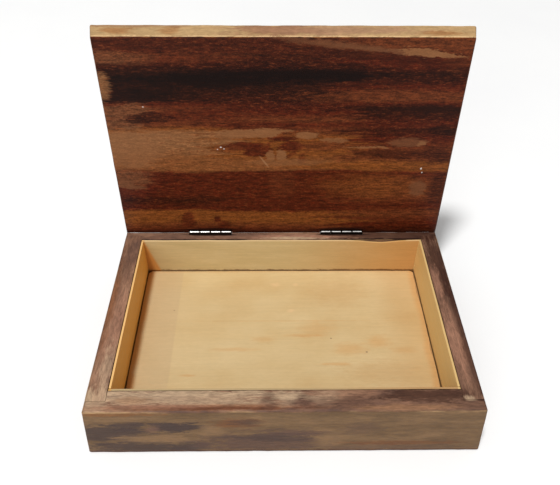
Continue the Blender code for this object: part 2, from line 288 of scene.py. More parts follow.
def patch_group():
    """A node group: how far a point is inside a long soft patch, 1 in its middle and 0 outside."""
    group = bpy.data.node_groups.new("patch", "ShaderNodeTree")
    centre_and_size = ("Centre along", "Centre across", "Half length", "Half width")
    for name in ("Along", "Across", "Fray", *centre_and_size, "Softness"):
        group.interface.new_socket(name, in_out="INPUT", socket_type="NodeSocketFloat")
    group.interface.new_socket("Mask", in_out="OUTPUT", socket_type="NodeSocketFloat")
    s = Shader(group)
    along, across, fray, centre_along, centre_across, length, width, softness = (
        s.node("NodeGroupInput").outputs[:8]
    )
    a = s.math("DIVIDE", s.minus(along, centre_along), length)
    b = s.math("DIVIDE", s.minus(across, centre_across), width)
    distance = s.add(s.distance(a, b), fray)
    mask = s.step(distance, s.minus(1.0, softness), s.add(1.0, softness), 1.0, 0.0)
    s.node("NodeGroupOutput", {0: mask})
    return group


PATCH = patch_group()


def painted(s, tint, along, across, fray, patches):
    """Lays patches on a colour. Each is (colour, centre, half size, strength, softness), in millimetres."""
    for patch_tint, (x, y), (length, width), strength, softness in patches:
        inputs = {0: along, 1: across, 2: fray, 3: x, 4: y, 5: length, 6: width, 7: softness}
        mask = s.node("ShaderNodeGroup", node_tree=PATCH)
        for index, value in inputs.items():
            s.put(mask.inputs[index], value)
        tint = s.mix(s.times(mask.outputs[0], strength), tint, patch_tint)
    return tint


# ---------------------------------------------------------------- wood


def spread(s, value, half_range):
    """Widens a noise around its middle, to 0..1."""
    return s.step(value, 0.5 - half_range, 0.5 + half_range)


def grain(s, along, across, depth):
    """Wood figure from coordinates along and across the grain: long lines, short flecks and open pores."""
    wander = s.times(s.minus(s.noise(s.times(along, 0.018), s.times(across, 0.06), depth, 2.0), 0.5), 7.0)
    across = s.add(across, wander)
    lines = s.noise(s.times(along, 0.03), s.times(across, 0.75), depth, 4.0, 0.62)
    flecks = s.noise(s.times(along, 0.26), s.times(across, 0.85), s.times(depth, 1.3), 4.0, 0.68)
    pores = s.noise(s.times(along, 0.3), s.times(across, 4.5), s.times(depth, 2.3), 2.0, 0.5)
    return spread(s, lines, 0.2), spread(s, flecks, 0.16), s.step(pores, 0.36, 0.24)


def fraying(s, along, across, amount):
    """A ragged amount, more drawn out along the grain, that frays the edge of a patch."""
    coarse = s.noise(s.times(along, 0.07), s.times(across, 0.3), 3.0, 3.0, 0.6)
    fine = s.noise(s.times(along, 0.28), s.times(across, 1.3), 9.0, 3.0, 0.7)
    coarse, fine = spread(s, coarse, 0.22), spread(s, fine, 0.2)
    return s.times(s.add(s.times(coarse, 0.6), s.times(fine, 0.4), -0.5), amount)


LID_BANDS = {
    # For each third of the lid: (share of the way from the free edge to the hinges, colour).
    "left": (
        (0.00, LID_COCOA), (0.05, LID_COCOA), (0.085, LID_RED), (0.125, LID_DARK), (0.145, UMBER),
        (0.18, BLACK_BROWN), (0.22, UMBER), (0.285, UMBER), (0.30, LID_RED), (0.335, LID_RUST),
        (0.375, LID_RED), (0.405, LID_RUST), (0.425, LID_AMBER), (0.44, LID_PALE), (0.50, LID_PALE),
        (0.58, LID_TAWNY), (0.628, LID_TAWNY), (0.645, LID_RED), (0.76, LID_RED), (0.80, LID_DARK),
        (0.855, LID_RED), (0.868, LID_AMBER), (0.925, LID_AMBER), (0.96, LID_RUST), (1.00, LID_RED),
    ),
    "middle": (
        (0.00, LID_COCOA), (0.06, LID_COCOA), (0.10, LID_DARK), (0.13, LID_DARK), (0.155, BLACK_BROWN),
        (0.185, BLACK_BROWN), (0.22, UMBER), (0.27, LID_DARK), (0.34, LID_RED), (0.375, LID_RUST),
        (0.40, LID_RED), (0.43, LID_RUST), (0.47, LID_AMBER), (0.54, LID_AMBER), (0.59, LID_TAWNY),
        (0.624, LID_TAWNY), (0.638, LID_RED), (0.70, LID_RED), (0.80, LID_RED), (0.862, LID_RED),
        (0.876, LID_AMBER), (0.93, LID_AMBER), (0.965, LID_RUST), (1.00, LID_RED),
    ),
    "right": (
        (0.00, LID_RUST), (0.05, LID_RUST), (0.09, LID_RED), (0.12, LID_RED), (0.15, UMBER),
        (0.19, LID_DARK), (0.22, LID_RED), (0.27, LID_RUST), (0.30, LID_RED), (0.32, UMBER),
        (0.36, LID_DARK), (0.40, LID_RED), (0.425, LID_DARK), (0.47, LID_RED), (0.53, LID_RUST),
        (0.57, LID_RUST), (0.595, LID_AMBER), (0.63, LID_AMBER), (0.645, LID_RED), (0.70, LID_RUST),
        (0.78, LID_RUST), (0.84, LID_RED), (0.88, LID_RUST), (0.94, LID_RED), (1.00, LID_DARK),
    ),
}

LID_PATCHES = (
    # Top left, and the lighter mottle under the free edge.
    (LID_DRAB, (-100.0, 13.0), (20.0, 4.0), 0.8, 0.5),
    (LID_RUST, (-64.0, 12.0), (40.0, 3.5), 0.4, 0.6),
    (LID_RUST, (46.0, 4.0), (30.0, 3.0), 0.5, 0.6),
    (LID_RUST, (104.0, 14.0), (9.0, 6.0), 0.5, 0.6),
    # The dark left end and the lighter right end of the widest dark band.
    (BLACK_BROWN, (-88.0, 36.0), (22.0, 6.0), 0.4, 0.5),
    (LID_RUST, (66.0, 37.5), (46.0, 4.0), 0.75, 0.5),
    # A pale patch and greyer wood at the left end, and dark lenses below them and at the right.
    (LID_PALE, (-110.0, 31.0), (5.0, 9.0), 0.85, 0.4),
    (LID_DRAB, (-100.0, 48.0), (20.0, 4.4), 0.85, 0.4),
    (LID_RUST, (-64.0, 54.0), (30.0, 3.0), 0.7, 0.5),
    (LID_DRAB, (-106.0, 56.0), (16.0, 6.0), 0.85, 0.3),
    (UMBER, (-84.0, 53.5), (15.0, 3.4), 0.85, 0.12),
    (LID_RED, (-52.0, 51.0), (26.0, 4.4), 0.7, 0.5),
    (UMBER, (84.0, 47.0), (38.0, 3.0), 0.7, 0.5),
    # The dark swirl in the middle of the pale zone.
    (LID_RED, (-26.0, 72.0), (13.0, 2.6), 0.9, 0.2),
    (LID_RED, (-16.0, 76.0), (9.0, 4.6), 0.9, 0.15),
    (LID_RUST, (-36.0, 74.0), (9.0, 3.0), 0.6, 0.4),
    (LID_RED, (0.0, 67.5), (9.0, 1.6), 0.9, 0.2),
    (LID_RED, (6.0, 73.0), (8.0, 3.6), 0.9, 0.15),
    (LID_RUST, (28.0, 73.0), (18.0, 3.4), 0.75, 0.4),
    (LID_RED, (13.0, 83.0), (2.6, 4.0), 0.6, 0.3),
    # Dark ends of bands at the right, and the amber band under them.
    (UMBER, (104.0, 62.5), (9.0, 3.6), 0.85, 0.3),
    (LID_DARK, (102.0, 81.0), (12.0, 7.0), 0.7, 0.4),
    (LID_DARK, (72.0, 79.5), (24.0, 3.4), 0.7, 0.3),
    (LID_AMBER, (54.0, 88.0), (54.0, 3.0), 0.8, 0.3),
    # Greyer left end of the lower dark band, and its mottled right end.
    (LID_DRAB, (-104.0, 99.0), (15.0, 7.0), 0.85, 0.4),
    (LID_RUST, (0.0, 103.0), (9.0, 11.0), 0.45, 0.6),
    (LID_AMBER, (62.0, 105.0), (34.0, 9.0), 0.5, 0.7),
    (LID_DARK, (106.0, 108.0), (6.0, 15.0), 0.7, 0.4),
    # Knots and notches by the left hinge.
    (LID_RED, (-66.0, 135.0), (4.5, 8.0), 0.8, 0.3),
    (LID_RED, (-45.5, 133.5), (2.6, 2.6), 0.95, 0.3),
    (LID_RED, (-41.0, 140.0), (5.0, 4.0), 0.8, 0.3),
)

LID_LENSES = (
    # Smooth pale lenses: left and right of the swirl, under it, and towards the right end.
    (LENS_TAN, (-22.0, 64.0), (19.0, 3.0), 0.9, 0.1),
    (LENS_TAN, (-8.0, 62.2), (14.0, 1.5), 0.85, 0.12),
    (LENS_TAN, (-35.0, 66.6), (8.0, 1.8), 0.6, 0.2),
    (LENS_TAN, (16.0, 65.5), (8.0, 2.4), 0.85, 0.15),
    (LENS_TAN, (33.0, 69.0), (9.0, 1.5), 0.7, 0.2),
    (LENS_TAN, (-8.0, 79.5), (3.2, 3.6), 0.85, 0.15),
    (LENS_TAN, (-1.0, 79.0), (3.4, 4.0), 0.9, 0.15),
    (LENS_TAN, (4.0, 85.0), (24.0, 2.6), 0.5, 0.4),
    (LENS_TAN, (54.0, 73.8), (14.0, 1.0), 0.8, 0.15),
    (LENS_DULL, (80.0, 70.0), (12.0, 3.0), 0.75, 0.25),
    (LENS_TAN, (90.0, 71.5), (2.8, 1.5), 0.75, 0.2),
    (LENS_DULL, (92.0, 106.5), (5.6, 6.6), 0.8, 0.25),
    (LENS_TAN, (-102.0, 75.0), (24.0, 15.0), 0.6, 0.25),
    (LENS_TAN, (-70.0, 66.0), (12.0, 4.0), 0.4, 0.3),
    (LENS_DULL, (-100.0, 106.0), (9.0, 0.9), 0.7, 0.3),
    (LENS_DULL, (-106.0, 103.0), (6.0, 3.0), 0.6, 0.3),
)

LID_HEART = (
    # The darkest middles of the two dark bands.
    (BLACK_BROWN, (-44.0, 27.5), (34.0, 5.4), 0.85, 0.5),
    (BLACK_BROWN, (22.0, 23.0), (40.0, 3.6), 0.8, 0.5),
    (BLACK_BROWN, (-84.0, 37.0), (18.0, 4.0), 0.5, 0.5),
    (UMBER, (90.0, 47.0), (26.0, 2.4), 0.6, 0.5),
)

LID_SLANTS = (
    # Placed by distance across, and by distance down from a line that slopes with the pale streak.
    (LID_DARK, (66.0, 5.4), (46.0, 3.0), 0.5, 0.6),
    (LENS_DULL, (34.0, 0.8), (44.0, 2.0), 0.6, 0.3),
    (LENS_DULL, (62.0, 0.9), (40.0, 1.2), 0.6, 0.3),
    (LENS_TAN, (81.0, 0.0), (12.5, 2.5), 0.9, 0.1),
    (LENS_TAN, (98.0, 0.6), (12.0, 1.1), 0.85, 0.15),
)
STREAK_SLOPE = 0.11

LID_SPECKS = (
    # Small white chips in the varnish.
    (WHITE, (-40.0, 74.0), (0.6, 0.45), 0.6, 0.5),
    (WHITE, (-38.0, 75.2), (0.5, 0.4), 0.5, 0.5),
    (WHITE, (-42.2, 75.6), (0.4, 0.4), 0.5, 0.5),
    (WHITE, (92.4, 90.5), (0.5, 0.7), 0.7, 0.5),
    (WHITE, (93.4, 93.6), (0.4, 0.5), 0.6, 0.5),
    (WHITE, (-86.5, 45.0), (0.5, 0.4), 0.5, 0.5),
)
LID_SCRATCHES = ((LENS_TAN, (-12.0, 102.0), (2.8, 1.1), 0.8, 0.5),)
SCRATCH_SLOPE = 1.4
LEFT_THIRD_ENDS, RIGHT_THIRD_STARTS = (-58.0, -22.0), (26.0, 62.0)
STAIN_CONTRAST = 1.2
STAIN_BRIGHTNESS = 1.145
SWIRL_PLACE, SWIRL_REACH = (-1.0, 75.0), 14.0
HINGE_SHADE_HALF = 18.5  # half the length of the painted shade at a hinge


def lid_place(s):
    """On the lid: across it, down from its free edge towards the hinges, and out through its thickness."""
    x, y, z = s.place()
    back, up = s.minus(y, AXIS_Y), s.minus(z, AXIS_Z)
    sine, cosine = math.sin(OPEN_ANGLE), -math.cos(OPEN_ANGLE)
    reach = s.add(s.times(back, cosine), s.times(up, sine))
    out = s.minus(s.times(back, sine), s.times(up, cosine))
    return x, s.minus(LID_REACH, reach), out


def hinge_shade(s, tint, x, across, fray, place, half_width, strength):
    """Painted shade in the wood along each hinge, beside its barrel, at one place across the grain."""
    for hinge_x in HINGE_PLACES:
        shade_strip = ((BLACK_BROWN, (hinge_x, place), (HINGE_SHADE_HALF, half_width), strength, 0.3),)
        tint = painted(s, tint, x, across, s.times(fray, 0.2), shade_strip)
    return tint


def lid_wood():
    """The lid: its inner face, then its free edge, short edges, outer face and hinge edge over that."""
    material, s, main = new_material("lid_wood", specular=0.1)
    x, down, out = lid_place(s)
    lines, flecks, pores = grain(s, x, down, s.times(out, 0.3))
    ragged = spread(s, s.noise(s.times(x, 0.09), s.times(down, 0.55), out, 4.0, 0.65), 0.25)
    face = lid_inner_colour(s, x, down, lines, flecks, ragged)
    past_arris = s.minus(s.minus(out, LID_INNER), down)
    worn = s.times(s.step(past_arris, -1.0, -0.2), s.step(ragged, 0.5, 0.8))
    face = s.mix(s.times(worn, 0.6), face, HONEY)
    tint = s.mix(s.step(past_arris, -0.15, 0.25), face, lid_edge_colour(s, x, out, lines, flecks))
    side_face = s.add(s.times(out, LID_SIDE_SPLAY / LID_THICKNESS), LID_HALF - LID_SIDE_SPLAY)
    past_side = s.minus(s.size(x), side_face)
    tint = s.mix(s.step(past_side, -0.5, -0.15), tint, lid_side_colour(s, down, out, flecks))
    outer = lid_outer_colour(s, x, down, lines, flecks)
    tint = s.mix(s.step(out, LID_THICKNESS - 0.5, LID_THICKNESS - 0.1), tint, outer)
    # The hinge edge: black-brown painted shade by the inner face, where it meets the stop, and stained wood
    # past it.
    hinge_edge = s.shade(CHESTNUT, s.add(s.times(lines, 0.5), s.times(flecks, 0.5), 0.5))
    hinge_edge = s.mix(s.step(out, 1.0, 2.5), BLACK_BROWN, hinge_edge)
    tint = s.mix(s.step(down, LID_REACH - 0.2, LID_REACH + 0.1), tint, hinge_edge)
    tint = s.mix(s.times(pores, 0.35), tint, BLACK_BROWN)
    off_face = s.step(out, 0.3, 1.0)
    roughness = s.add(0.36, s.times(flecks, 0.14), s.times(pores, 0.2), s.times(off_face, 0.15))
    height = s.add(s.times(lines, 0.35), s.times(flecks, 0.4), s.times(pores, -0.6))
    surface(s, main, tint, roughness, height, 0.05)
    return material


def lid_inner_colour(s, x, down, lines, flecks, ragged):
    """The inner face: stain bands that wander, pale rubbed lenses, a knot's rings, specks, and painted shade
    along the hinges.
    """
    drift = spread(s, s.noise(s.times(x, 0.011), s.times(down, 0.03), 4.0, 2.0), 0.25)
    bent = s.add(down, s.times(ragged, 1.6), s.times(drift, 2.4), s.times(flecks, 0.9), -2.4)
    share = s.math("DIVIDE", bent, LID_REACH)
    bands = {name: s.ramp(share, stops) for name, stops in LID_BANDS.items()}
    blend = spread(s, s.noise(s.times(x, 0.02), s.times(down, 0.3), 2.0, 4.0, 0.7), 0.2)
    shifted = s.add(x, s.times(s.add(blend, -0.5), 44.0))
    face = s.mix(s.step(shifted, *LEFT_THIRD_ENDS), bands["left"], bands["middle"])
    face = s.mix(s.step(shifted, *RIGHT_THIRD_STARTS), face, bands["right"])
    fray = fraying(s, x, down, 1.1)
    mottle = spread(s, s.noise(s.times(x, 0.12), s.times(down, 0.5), 6.0, 4.0, 0.65), 0.22)
    face = painted(s, face, x, bent, s.times(fray, 0.8), LID_PATCHES)
    face = s.mix(swirl(s, x, down, fray), face, LID_RED)
    sparks = s.noise(s.times(x, 0.34), s.times(down, 1.0), 17.0, 2.0, 0.6)
    tone = s.node("ShaderNodeRGBToBW", {0: face}).outputs[0]
    not_darkest = s.step(tone, 0.008, 0.02, 0.12, 1.0)
    sparked = s.times(s.step(sparks, 0.5, 0.62), s.add(0.1, s.times(mottle, 0.7)), not_darkest)
    face = s.mix(sparked, face, LID_RUST)
    grit = spread(s, s.noise(s.times(x, 0.7), s.times(down, 1.3), 21.0, 2.0, 0.6), 0.2)
    uneven = s.add(s.times(lines, 0.2), s.times(flecks, 0.4), s.times(grit, 0.4), s.times(mottle, 0.7), -0.85)
    less_if_pale = s.step(tone, 0.06, 0.15, 1.0, 0.5)
    face = s.shade(face, s.add(s.times(uneven, less_if_pale), STAIN_BRIGHTNESS))
    fine_fray = s.times(fray, 0.6)
    lensed = painted(s, face, x, bent, fine_fray, LID_LENSES)
    lensed = painted(s, lensed, x, s.minus(bent, s.times(x, STREAK_SLOPE)), fine_fray, LID_SLANTS)
    face = s.shade(lensed, s.add(s.times(mottle, 0.16), s.times(grit, 0.12), 0.86))
    face = painted(s, face, x, bent, fray, LID_HEART)
    face = s.node("ShaderNodeGamma", {0: face, 1: STAIN_CONTRAST}).outputs[0]
    face = painted(s, face, x, down, 0.0, LID_SPECKS)
    face = painted(s, face, x, s.minus(down, s.times(x, SCRATCH_SLOPE)), 0.0, LID_SCRATCHES)
    # Painted shade in the wood along the hinges.
    face = hinge_shade(s, face, x, down, fray, LID_REACH - 2.4, 1.4, 0.95)
    return s.mix(s.step(down, LID_REACH - 4.0, LID_REACH, 0.0, 0.7), face, UMBER)


def swirl(s, x, down, fray):
    """Dark rings round a small knot in the middle of the lid."""
    side, drop = s.times(s.minus(x, SWIRL_PLACE[0]), 0.75), s.minus(down, SWIRL_PLACE[1])
    distance = s.distance(side, drop)
    rings = s.math("SINE", s.add(s.times(distance, 1.15), s.times(fray, 2.5)))
    return s.times(s.step(rings, 0.2, 0.9), s.step(distance, SWIRL_REACH, 5.0, 0.0, 0.65))


def lid_edge_colour(s, x, out, lines, flecks):
    """The free edge: pale bare wood with brown mottling in the middle."""
    fray = fraying(s, x, out, 1.2)
    patches = (
        (RUSSET, (-4.0, 6.0), (24.0, 4.6), 0.55, 0.5),
        (ROSE, (22.0, 6.0), (52.0, 4.4), 0.6, 0.5),
        (HONEY, (-96.0, 5.5), (9.0, 2.6), 0.6, 0.5),
        (HONEY, (-66.0, 5.5), (5.0, 4.0), 0.5, 0.5),
        (FAWN, (-85.0, 9.5), (26.0, 1.6), 0.7, 0.4),
        (HONEY, (92.0, 3.4), (11.0, 2.0), 0.6, 0.5),
    )
    tint = painted(s, BARE_EDGE, x, out, fray, patches)
    tint = s.shade(tint, s.add(s.times(lines, 0.16), s.times(flecks, 0.22), 0.8))
    wear = s.times(s.step(out, 1.6, 0.7), s.step(flecks, 0.1, 0.6))
    return s.mix(s.times(wear, 0.6), tint, CREAM)


def lid_outer_colour(s, x, down, lines, flecks):
    """The outer face: tan wood with dark smoky streaks along the grain."""
    smoke = s.noise(s.times(x, 0.014), s.times(down, 0.085), 11.0, 7.0, 0.68)
    smoke = s.add(smoke, s.times(s.add(lines, flecks, -1.0), 0.05))
    tint = s.ramp(smoke, ((0.3, SLATE), (0.41, PLUM), (0.49, FAWN), (0.57, DRY_TAN), (0.72, TAN)))
    return s.shade(tint, s.add(s.times(lines, 0.35), s.times(flecks, 0.35), 0.62))


def lid_side_colour(s, down, out, flecks):
    """End grain at the two short edges of the lid."""
    rings = s.noise(s.times(down, 0.05), s.times(out, 0.9), 5.0, 4.0, 0.6)
    tint = s.ramp(rings, ((0.3, UMBER), (0.5, CHESTNUT), (0.7, FAWN)))
    return s.shade(tint, s.add(s.times(flecks, 0.4), 0.75))


TOP_PATCHES = (
    # Front rail: pale along its inner half at the left, smoky patches to the right.
    (DRIFT, (-60.0, -65.0), (60.0, 5.4), 0.65, 0.35),
    (DRIFT, (-52.0, -62.4), (40.0, 2.0), 0.6, 0.4),
    (DRIFT, (-104.0, -66.0), (8.0, 8.0), 0.6, 0.4),
    (FAWN, (-84.0, -67.0), (10.0, 2.2), 0.5, 0.5),
    (DRIFT, (-2.0, -63.5), (12.0, 3.2), 0.7, 0.4),
    (RUSSET, (-44.0, -71.8), (56.0, 1.8), 0.5, 0.4),
    (ROSE, (-70.0, -71.2), (30.0, 1.4), 0.5, 0.4),
    (SIENNA, (-30.0, -72.2), (34.0, 0.9), 0.5, 0.5),
    (SMOKE, (-9.0, -67.0), (4.6, 6.0), 0.55, 0.4),
    (DRIFT, (1.0, -67.0), (6.0, 4.0), 0.4, 0.6),
    (SMOKE, (11.0, -68.0), (4.0, 4.5), 0.6, 0.4),
    (DRIFT, (22.0, -66.0), (8.0, 4.0), 0.4, 0.6),
    (SMOKE, (34.0, -70.0), (16.0, 5.0), 0.6, 0.5),
    (UMBER, (82.0, -64.5), (28.0, 4.2), 0.7, 0.4),
    (FAWN, (64.0, -72.5), (26.0, 2.0), 0.6, 0.5),
    (DRIFT, (103.0, -66.5), (2.6, 1.8), 0.7, 0.5),
    # Back rail: a pale pinkish patch beside the liner, darker to the right.
    (ROSE, (8.0, 70.6), (30.0, 2.6), 0.9, 0.4),
    (DRIFT, (8.0, 69.2), (22.0, 1.2), 0.85, 0.4),
    (UMBER, (84.0, 71.5), (36.0, 6.0), 0.7, 0.4),
    (BLACK_BROWN, (-60.0, 68.0), (34.0, 0.55), 0.9, 0.3),
    (BLACK_BROWN, (68.0, 68.1), (32.0, 0.8), 0.9, 0.3),
    (PLUM, (-60.0, 73.0), (44.0, 4.0), 0.5, 0.5),
    # Left rail, redder towards its outer edge.
    (ROSE, (-103.5, -20.0), (4.4, 46.0), 0.55, 0.5),
    (DRIFT, (-103.0, -46.0), (3.4, 18.0), 0.5, 0.5),
    (RUSSET, (-110.0, 14.0), (3.0, 36.0), 0.6, 0.6),
    (SMOKE, (-106.0, 44.0), (5.0, 16.0), 0.5, 0.6),
    # Right rail, dark at its back and outer edge, with reddish patches.
    (UMBER, (107.0, 40.0), (7.0, 34.0), 0.75, 0.5),
    (ROSE, (102.0, 24.0), (2.6, 14.0), 0.7, 0.5),
    (ROSE, (104.0, -26.0), (5.4, 26.0), 0.75, 0.6),
    (UMBER, (109.5, -10.0), (2.6, 50.0), 0.7, 0.6),
)

FRONT_PATCHES = (
    # On the front, across and up. Smoky clouds at the left and along the bottom.
    (SLATE, (-99.0, 18.0), (22.0, 7.6), 0.85, 0.3),
    (SLATE, (-88.0, 25.0), (9.0, 4.0), 0.8, 0.3),
    (SLATE, (-62.0, 23.5), (16.0, 4.2), 0.95, 0.25),
    (DRY_TAN, (-96.0, 31.0), (18.0, 2.2), 0.7, 0.4),
    (ROSE, (-74.0, 22.5), (4.0, 2.8), 0.35, 0.6),
    (RUSSET, (-27.0, 27.0), (13.0, 3.8), 0.6, 0.5),
    (SLATE, (-22.0, 27.5), (8.0, 2.4), 0.6, 0.6),
    (SLATE, (-84.0, 5.0), (26.0, 5.0), 0.85, 0.4),
    (SLATE, (-54.0, 5.0), (11.0, 5.4), 0.85, 0.4),
    (PLUM, (-12.0, 9.5), (36.0, 8.6), 0.85, 0.4),
    (SLATE, (-6.0, 14.0), (22.0, 3.6), 0.6, 0.5),
    (PLUM, (6.0, 18.0), (16.0, 3.4), 0.7, 0.5),
    (DRY_TAN, (-72.0, 13.5), (20.0, 2.8), 0.9, 0.4),
    (DRY_TAN, (-42.0, 20.0), (7.0, 4.0), 0.8, 0.4),
    (DRY_TAN, (26.0, 10.0), (8.0, 6.0), 0.8, 0.4),
    (PLUM, (58.0, 4.0), (40.0, 3.0), 0.5, 0.5),
    (RUSSET, (64.0, 8.0), (28.0, 2.0), 0.55, 0.5),
    (PLUM, (42.0, 22.0), (9.0, 5.0), 0.4, 0.6),
    # A painted highlight along the top arris at the left.
    (HONEY, (-94.0, 35.5), (26.0, 1.6), 0.5, 0.5),
)


def rail_wood():
    """The frame of the box: patchy, worn wood, with its own figure on its top and on its front."""
    material, s, main = new_material("rail_wood", specular=0.2)
    x, y, z = s.place()
    between_laps = s.times(s.step(y, LAP_FRONT - 0.1, LAP_FRONT), s.step(y, LAP_BACK + 0.1, LAP_BACK))
    side_rail = s.times(s.step(s.size(x), LINER_OUT - 0.1, LINER_OUT + 0.1), between_laps)
    along = s.mix(side_rail, s.vector(x, x, x), s.vector(y, y, y))
    across = s.mix(side_rail, s.vector(y, y, y), s.vector(x, x, x))
    along = s.node("ShaderNodeSeparateXYZ", {0: along}).outputs[0]
    across = s.node("ShaderNodeSeparateXYZ", {0: across}).outputs[0]
    height_part = s.add(across, z)
    lines, flecks, pores = grain(s, along, height_part, s.minus(across, z))
    fray = fraying(s, along, height_part, 1.3)
    cloud = s.noise(s.times(along, 0.03), s.times(across, 0.12), s.times(z, 0.12), 4.0, 0.6)
    mottle = spread(s, s.noise(s.times(along, 0.11), s.times(height_part, 0.45), 6.0, 4.0, 0.65), 0.22)

    top = s.ramp(cloud, ((0.32, PLUM), (0.5, TOP_BROWN), (0.66, TOP_LIGHT)))
    top = s.mix(s.times(s.step(x, 40.0, 104.0), 0.5), top, SMOKE)
    top = painted(s, top, x, y, fray, TOP_PATCHES)
    outer_arris = s.step(s.size(x), HALF_WIDTH - 3.6, HALF_WIDTH - 1.8)
    top = s.mix(s.times(outer_arris, 0.55), top, UMBER)

    front = s.ramp(cloud, ((0.3, FRONT_DARK), (0.5, FRONT_BROWN), (0.7, DRY_TAN)))
    front = painted(s, front, x, z, fray, FRONT_PATCHES)
    front = s.mix(s.step(s.add(z, s.times(flecks, 0.8)), 2.8, 1.2, 0.0, 0.85), front, SIENNA)
    side = s.ramp(cloud, ((0.3, SLATE), (0.45, PLUM), (0.56, SIDE_BROWN), (0.7, DRY_TAN)))
    on_front = s.step(y, FRONT + 3.0, FRONT + 2.6)
    outside = s.mix(on_front, side, front)
    on_top = s.step(s.add(z, s.times(flecks, 0.4)), RIM - 0.9, RIM - 0.3)
    tint = s.mix(on_top, outside, top)
    worn = s.times(s.step(z, RIM - 1.3, RIM - 0.7), s.step(z, RIM - 0.1, RIM - 0.5))
    worn = s.times(worn, s.step(cloud, 0.45, 0.62))
    tint = s.mix(s.times(worn, 0.6), tint, SAND)
    fine = s.add(s.times(lines, 0.16), s.times(flecks, 0.42), s.times(mottle, 0.34))
    tint = s.shade(tint, s.add(s.times(fine, s.step(on_front, 0.0, 1.0, 1.0, 0.6)), 0.58))
    # Painted shade on the rail top along the hinges.
    tint = hinge_shade(s, tint, x, y, fray, AXIS_Y - 2.2, 1.2, 0.9)
    tint = s.mix(s.times(pores, 0.4), tint, UMBER)
    roughness = s.add(0.42, s.times(flecks, 0.25), s.times(cloud, 0.1))
    height = s.add(s.times(lines, 0.5), s.times(flecks, 0.4), s.times(pores, -0.6))
    surface(s, main, tint, roughness, height, 0.08)
    return material


CORNER_SHADOW_LEAN = 0.33  # how fast the painted orange shadow at the back liner's left end widens downwards


def liner_wood():
    """Thin pale strips, with a lighter cut top edge, warmer to the right, an orange left corner that is
    painted shadow, painted light on the side strips and painted shade along the floor.
    """
    material, s, main = new_material("liner_wood")
    x, y, z = s.place()
    short_strip = s.step(s.size(x), LINER_OUT - 1.5, LINER_OUT - 1.4)
    run = s.add(x, s.times(short_strip, y))
    lines, flecks = grain(s, run, z, s.times(short_strip, 9.0))[:2]
    cloud = s.noise(s.times(run, 0.03), s.times(z, 0.1), 2.0, 4.0, 0.6)
    tint = s.ramp(cloud, LINER_TONES)
    warm = s.times(s.step(x, -10.0, 95.0), s.minus(1.0, short_strip), 0.7)
    tint = s.mix(warm, tint, AMBER)
    # Painted light: warm bounce light on the shaded left strip, more light on the right strip.
    left_strip = s.step(x, -LINER_OUT + 1.5, -LINER_OUT + 1.4)
    tint = s.mix(s.times(left_strip, 0.9), tint, LEFT_LINER_BOUNCE)
    right_strip = s.step(x, LINER_OUT - 1.5, LINER_OUT - 1.4)
    tint = s.mix(s.times(right_strip, 0.8), tint, RIGHT_LINER_LIT)
    tint = s.shade(tint, s.add(s.times(lines, 0.07), s.times(flecks, 0.05), 0.94))
    cream = s.mix(s.step(y, LAP_FRONT + 9.0, LAP_FRONT + 8.0), CREAM, PALE_EDGE)
    cream = s.mix(s.times(short_strip, s.step(x, 0.0, 1.0)), cream, STRAW)
    tint = s.mix(s.step(z, RIM - 0.5, RIM - 0.3, 0.0, 0.5), tint, cream)
    # A painted orange shadow at the left end of the long strips, widening downwards.
    from_corner = s.minus(s.add(x, LINER_OUT - 1.3), s.times(s.minus(RIM, z), CORNER_SHADOW_LEAN))
    corner = s.times(s.step(from_corner, 1.2, -1.2), s.minus(1.0, short_strip))
    tint = s.mix(s.times(corner, 0.85), tint, CORNER_SHADOW_ORANGE)
    # Painted shade along the foot of the strips, in the crease at the floor, broken in places.
    broken = spread(s, s.noise(s.times(run, 0.16), s.times(z, 0.4), 7.0, 4.0, 0.7), 0.2)
    floor_crease_shade = s.step(s.add(z, s.times(broken, -1.4)), FLOOR_TOP + 0.9, FLOOR_TOP - 0.5)
    tint = s.mix(s.times(floor_crease_shade, 0.7), tint, BURNT)
    roughness = s.add(0.4, s.times(flecks, 0.2))
    surface(s, main, tint, roughness, s.add(s.times(lines, 0.4), s.times(flecks, 0.3)), 0.04)
    return material


FLOOR_PATCHES = (
    # Broad warm shading, then orange blotches and short streaks along the grain.
    (STRAW, (40.0, 44.0), (16.0, 12.0), 0.4, 0.8),
    (STRAW, (62.0, -27.0), (20.0, 8.0), 0.5, 0.8),
    (SPOT_ORANGE, (22.0, 9.0), (10.0, 6.0), 0.25, 0.7),
    (SPOT_ORANGE, (44.0, -8.0), (9.0, 4.5), 0.35, 0.7),
    (SPOT_ORANGE, (63.0, -2.0), (7.0, 4.5), 0.4, 0.8),
    (SPOT_ORANGE, (79.0, -9.0), (6.0, 2.5), 0.35, 0.7),
    (SPOT_ORANGE, (34.0, -20.0), (10.0, 1.2), 0.4, 0.6),
    (SPOT_ORANGE, (-31.0, -8.0), (14.0, 1.4), 0.3, 0.7),
    (SPOT_ORANGE, (-12.5, 0.0), (6.0, 2.4), 0.3, 0.8),
    (SPOT_ORANGE, (14.0, 3.5), (12.0, 1.0), 0.35, 0.6),
    (SPOT_ORANGE, (-60.0, -28.5), (4.5, 0.9), 0.4, 0.6),
    (SPOT_ORANGE, (0.0, 16.6), (60.0, 0.3), 0.4, 0.6),
    # Dark specks and pale spots.
    (BURNT, (-74.5, 26.5), (0.6, 0.5), 0.7, 0.5),
    (BURNT, (32.0, 1.2), (0.6, 0.5), 0.75, 0.5),
    (BURNT, (54.5, -10.6), (0.6, 0.5), 0.6, 0.5),
    (CREAM, (-4.6, 51.0), (3.0, 1.6), 0.5, 0.6),
    (CREAM, (10.0, 51.0), (2.0, 1.4), 0.4, 0.6),
    (CREAM, (6.0, 25.5), (2.2, 1.4), 0.5, 0.6),
)


